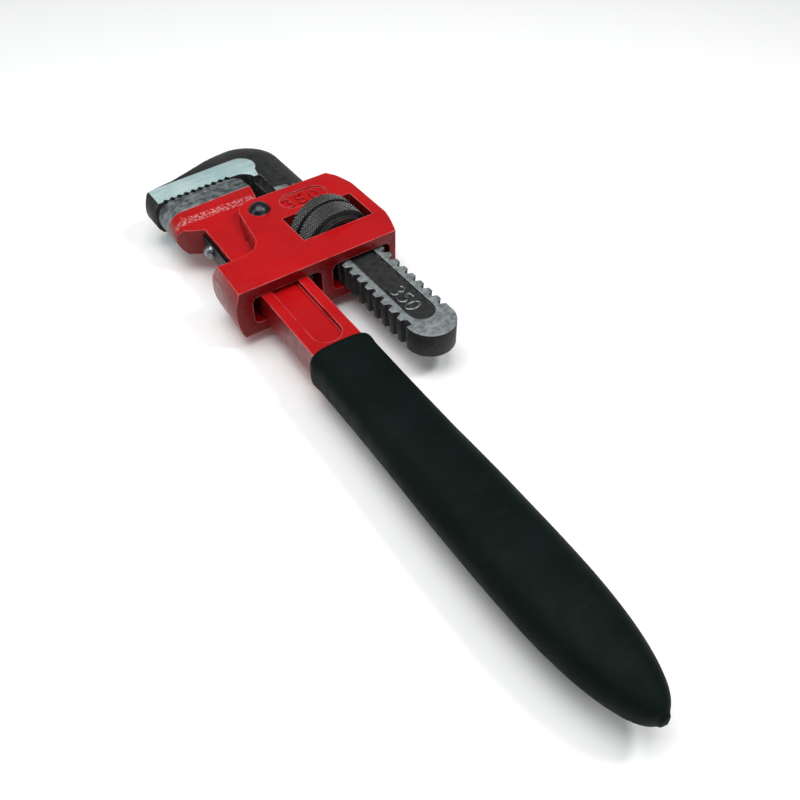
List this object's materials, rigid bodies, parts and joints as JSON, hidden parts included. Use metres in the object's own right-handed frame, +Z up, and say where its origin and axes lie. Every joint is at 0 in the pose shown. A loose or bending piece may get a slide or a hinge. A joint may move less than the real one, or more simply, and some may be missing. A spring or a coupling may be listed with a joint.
{
  "type": "pipe wrench",
  "caption": "Adjustable Stillson-pattern pipe wrench, 350 mm size: toothed hook jaw on a threaded shank and nut in a sprung, pivoting frame, with a dipped grip.",
  "frame": {"origin": "centre of the base of the bounding box, the wrench lying on its side with the jaws closed", "axes": "+Y along the handle towards the jaws, +X across the wrench from the handle's back to the hook jaw's shank, +Z up through the thickness"},
  "size_m": [0.0776, 0.3059, 0.0314],
  "materials": {
    "red_paint": "gloss red enamel over forged or cast steel",
    "ground_steel": "ground and hardened tooth insert",
    "forged_steel": "dark forging with ground side flats",
    "nut_steel": "blackened and diamond knurled",
    "spring_steel": "blued spring strip",
    "rivet_steel": "domed and polished",
    "grip_vinyl": "dipped black vinyl, satin"
  },
  "bodies": {
    "handle": {"handle": "red_paint", "heel_jaw": "ground_steel", "grip": "grip_vinyl", "frame_rivet": "rivet_steel", "back_spring": "spring_steel", "back_spring_rivet": "rivet_steel", "front_spring": "spring_steel", "front_spring_rivet": "rivet_steel"},
    "frame": {"frame": "red_paint"},
    "hook_jaw": {"hook_jaw": "forged_steel"},
    "adjusting_nut": {"adjusting_nut": "nut_steel"}
  },
  "joints": [
    {"name": "frame_pivot", "type": "hinge", "parent": "handle", "child": "frame", "pos_m": [-0.00425, 0.0915, 0.0157], "axis": [0, 0, 1], "range_deg": [-3.5, 0], "stiffness_Nm_per_rad": 8, "springref_deg": 2.86},
    {"name": "jaw_slide", "type": "slide", "parent": "frame", "child": "hook_jaw", "axis": [0, 1, 0], "range_m": [0, 0.05]},
    {"name": "nut_spin", "type": "hinge", "parent": "frame", "child": "adjusting_nut", "pos_m": [0.01765, 0.0718, 0.0157], "axis": [0, 1, 0], "range_deg": [-3340, 0]}
  ],
  "couplings": [
    {"joint": "nut_spin", "follows": "jaw_slide", "rad_per_m": -1163.6}
  ]
}
